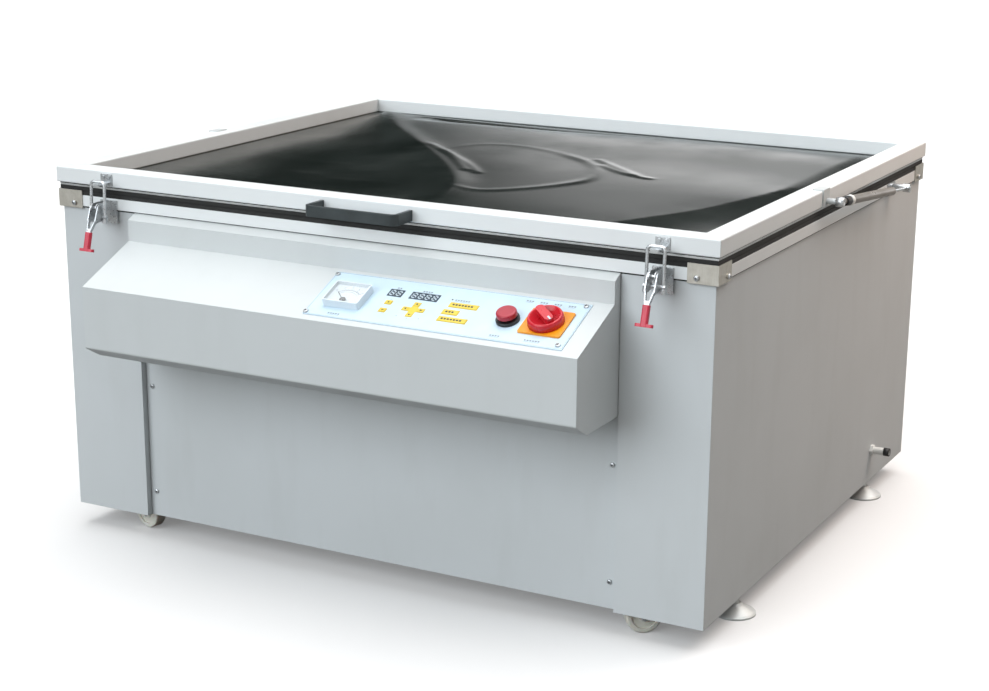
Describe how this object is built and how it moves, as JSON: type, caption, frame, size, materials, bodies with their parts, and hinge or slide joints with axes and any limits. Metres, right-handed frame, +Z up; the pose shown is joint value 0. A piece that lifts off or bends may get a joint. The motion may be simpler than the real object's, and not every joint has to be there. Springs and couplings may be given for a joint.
{
  "type": "screen printing exposure unit",
  "caption": "Floor-standing exposure cabinet with a glass bed, a hinged vacuum lid with rubber blanket, toggle latches and a sloping control console.",
  "frame": {"origin": "on the floor under the middle of the overall box", "axes": "+X to the operator's right, +Y to the rear, +Z up"},
  "size_m": [1.3156, 1.2036, 0.667],
  "materials": {
    "powder_grey": "fine satin powder coat",
    "console_white": "fine satin powder coat",
    "dark_paint": "semi-gloss powder coat",
    "strut_grey": "semi-gloss paint",
    "stainless": "brushed",
    "zinc_steel": "bright zinc plate",
    "galvanised": "galvanised",
    "polished_steel": "polished",
    "aluminium": "mill finish",
    "seal_rubber": "matte",
    "blanket_rubber": "semi-gloss",
    "glass": "clear float",
    "clear_window": "clear moulded",
    "overlay_blue": "printed film",
    "key_yellow": "embossed film",
    "isolator_yellow": "moulded",
    "signal_red": "moulded",
    "grip_red": "dipped vinyl",
    "black_plastic": "moulded",
    "display_black": "smoked lens",
    "wheel_cream": "moulded nylon",
    "lamp_white": "coated lamp glass"
  },
  "bodies": {
    "cabinet": {"chassis_frame": "powder_grey", "side_panel_left": "powder_grey", "side_panel_right": "powder_grey", "back_panel": "powder_grey", "bottom_panel": "galvanised", "front_panel": "powder_grey", "console_housing": "console_white", "case_screws": "zinc_steel", "control_plate": "overlay_blue", "meter_case": "black_plastic", "meter_window": "clear_window", "display_modules": "display_black", "keypad_keys": "key_yellow", "button_collar": "black_plastic", "isolator_plate": "isolator_yellow", "isolator_body": "black_plastic", "table_frame": "powder_grey", "corner_brackets": "stainless", "glass_plate": "glass", "glass_gasket": "seal_rubber", "levelling_feet": "polished_steel", "caster_plates": "zinc_steel", "exhaust_stub": "wheel_cream", "hinge_base_leaves": "zinc_steel", "latch_bases": "zinc_steel", "strut_base_brackets": "zinc_steel", "lamp_reflector": "aluminium", "uv_tubes": "lamp_white", "vacuum_pump": "dark_paint", "ballast": "galvanised", "fan_frame": "black_plastic"},
    "lid": {"lid_frame": "powder_grey", "blanket": "blanket_rubber", "blanket_clamps": "aluminium", "lid_handle": "dark_paint", "latch_keepers": "zinc_steel", "hinge_lid_leaves": "zinc_steel", "strut_lid_brackets": "console_white"},
    "needle": {"meter_needle": "black_plastic"},
    "button": {"stop_button": "signal_red"},
    "knob": {"isolator_knob": "signal_red"},
    "impeller": {"fan_impeller": "black_plastic"},
    "strut_rod_left": {"strut_rod_left": "polished_steel"},
    "strut_cylinder_left": {"strut_cylinder_left": "strut_grey"},
    "strut_rod_right": {"strut_rod_right": "polished_steel"},
    "strut_cylinder_right": {"strut_cylinder_right": "strut_grey"},
    "latch_lever_left": {"latch_lever_left": "zinc_steel", "latch_grip_left": "grip_red"},
    "latch_bail_left": {"latch_bail_left": "zinc_steel"},
    "latch_lever_right": {"latch_lever_right": "zinc_steel", "latch_grip_right": "grip_red"},
    "latch_bail_right": {"latch_bail_right": "zinc_steel"},
    "caster_fork_front_left": {"caster_fork_front_left": "zinc_steel"},
    "caster_wheel_front_left": {"caster_wheel_front_left": "wheel_cream"},
    "caster_fork_front_right": {"caster_fork_front_right": "zinc_steel"},
    "caster_wheel_front_right": {"caster_wheel_front_right": "wheel_cream"},
    "caster_fork_rear_left": {"caster_fork_rear_left": "zinc_steel"},
    "caster_wheel_rear_left": {"caster_wheel_rear_left": "wheel_cream"},
    "caster_fork_rear_right": {"caster_fork_rear_right": "zinc_steel"},
    "caster_wheel_rear_right": {"caster_wheel_rear_right": "wheel_cream"}
  },
  "joints": [
    {"name": "lid_hinge", "type": "hinge", "parent": "cabinet", "child": "lid", "pos_m": [0, 0.59625, 0.636], "axis": [-1, 0, 0], "range_deg": [0, 60]},
    {"name": "meter_needle_swing", "type": "hinge", "parent": "cabinet", "child": "needle", "pos_m": [0.029, -0.56111, 0.52295], "axis": [0, -0.3974, 0.9176], "range_deg": [-90, 0], "stiffness_Nm_per_rad": 0.0002},
    {"name": "stop_button_push", "type": "slide", "parent": "cabinet", "child": "button", "axis": [0, 0.3974, -0.9176], "range_m": [0, 0.004], "stiffness_N_per_m": 800},
    {"name": "isolator_turn", "type": "hinge", "parent": "cabinet", "child": "knob", "pos_m": [0.379, -0.53807, 0.52258], "axis": [0, -0.3974, 0.9176], "range_deg": [-90, 0]},
    {"name": "fan_spin", "type": "hinge", "parent": "cabinet", "child": "impeller", "pos_m": [-0.3, 0.56125, 0.24], "axis": [0, 1, 0], "continuous": true},
    {"name": "strut_swing_left", "type": "hinge", "parent": "cabinet", "child": "strut_rod_left", "pos_m": [-0.65, 0.39125, 0.609], "axis": [-1, 0, 0], "range_deg": [-1, 77.54]},
    {"name": "strut_stroke_left", "type": "slide", "parent": "strut_rod_left", "child": "strut_cylinder_left", "axis": [0, -0.9954, 0.0962], "range_m": [0, 0.16437]},
    {"name": "strut_swing_right", "type": "hinge", "parent": "cabinet", "child": "strut_rod_right", "pos_m": [0.65, 0.39125, 0.609], "axis": [-1, 0, 0], "range_deg": [-1, 77.54]},
    {"name": "strut_stroke_right", "type": "slide", "parent": "strut_rod_right", "child": "strut_cylinder_right", "axis": [0, -0.9954, 0.0962], "range_m": [0, 0.16437]},
    {"name": "latch_lever_left_turn", "type": "hinge", "parent": "cabinet", "child": "latch_lever_left", "pos_m": [-0.514, -0.49375, 0.606], "axis": [-1, 0, 0], "range_deg": [0, 110]},
    {"name": "latch_bail_left_turn", "type": "hinge", "parent": "latch_lever_left", "child": "latch_bail_left", "pos_m": [-0.514, -0.48925, 0.59], "axis": [-1, 0, 0], "range_deg": [-150, 0]},
    {"name": "latch_lever_right_turn", "type": "hinge", "parent": "cabinet", "child": "latch_lever_right", "pos_m": [0.533, -0.49375, 0.606], "axis": [-1, 0, 0], "range_deg": [0, 110]},
    {"name": "latch_bail_right_turn", "type": "hinge", "parent": "latch_lever_right", "child": "latch_bail_right", "pos_m": [0.533, -0.48925, 0.59], "axis": [-1, 0, 0], "range_deg": [-150, 0]},
    {"name": "caster_front_left_swivel", "type": "hinge", "parent": "cabinet", "child": "caster_fork_front_left", "pos_m": [-0.511, -0.40275, 0.084], "axis": [0, 0, 1], "continuous": true},
    {"name": "caster_front_left_roll", "type": "hinge", "parent": "caster_fork_front_left", "child": "caster_wheel_front_left", "pos_m": [-0.49354, -0.4071, 0.0304], "axis": [-0.2419, -0.9703, 0], "continuous": true},
    {"name": "caster_front_right_swivel", "type": "hinge", "parent": "cabinet", "child": "caster_fork_front_right", "pos_m": [0.511, -0.40275, 0.084], "axis": [0, 0, 1], "continuous": true},
    {"name": "caster_front_right_roll", "type": "hinge", "parent": "caster_fork_front_right", "child": "caster_wheel_front_right", "pos_m": [0.49721, -0.41432, 0.0304], "axis": [-0.6428, 0.766, 0], "continuous": true},
    {"name": "caster_rear_left_swivel", "type": "hinge", "parent": "cabinet", "child": "caster_fork_rear_left", "pos_m": [-0.511, 0.52925, 0.084], "axis": [0, 0, 1], "continuous": true},
    {"name": "caster_rear_left_roll", "type": "hinge", "parent": "caster_fork_rear_left", "child": "caster_wheel_rear_left", "pos_m": [-0.52839, 0.52459, 0.0304], "axis": [-0.2588, 0.9659, 0], "continuous": true},
    {"name": "caster_rear_right_swivel", "type": "hinge", "parent": "cabinet", "child": "caster_fork_rear_right", "pos_m": [0.511, 0.52925, 0.084], "axis": [0, 0, 1], "continuous": true},
    {"name": "caster_rear_right_roll", "type": "hinge", "parent": "caster_fork_rear_right", "child": "caster_wheel_rear_right", "pos_m": [0.49409, 0.53541, 0.0304], "axis": [0.342, 0.9397, 0], "continuous": true}
  ],
  "couplings": [
    {"joint": "strut_swing_left", "follows": "lid_hinge", "ratio": 1.2673},
    {"joint": "strut_stroke_left", "follows": "lid_hinge", "m_per_rad": 0.15505},
    {"joint": "strut_swing_right", "follows": "lid_hinge", "ratio": 1.2673},
    {"joint": "strut_stroke_right", "follows": "lid_hinge", "m_per_rad": 0.15505},
    {"joint": "latch_bail_left_turn", "follows": "latch_lever_left_turn", "ratio": -1.15},
    {"joint": "latch_bail_right_turn", "follows": "latch_lever_right_turn", "ratio": -1.15}
  ]
}
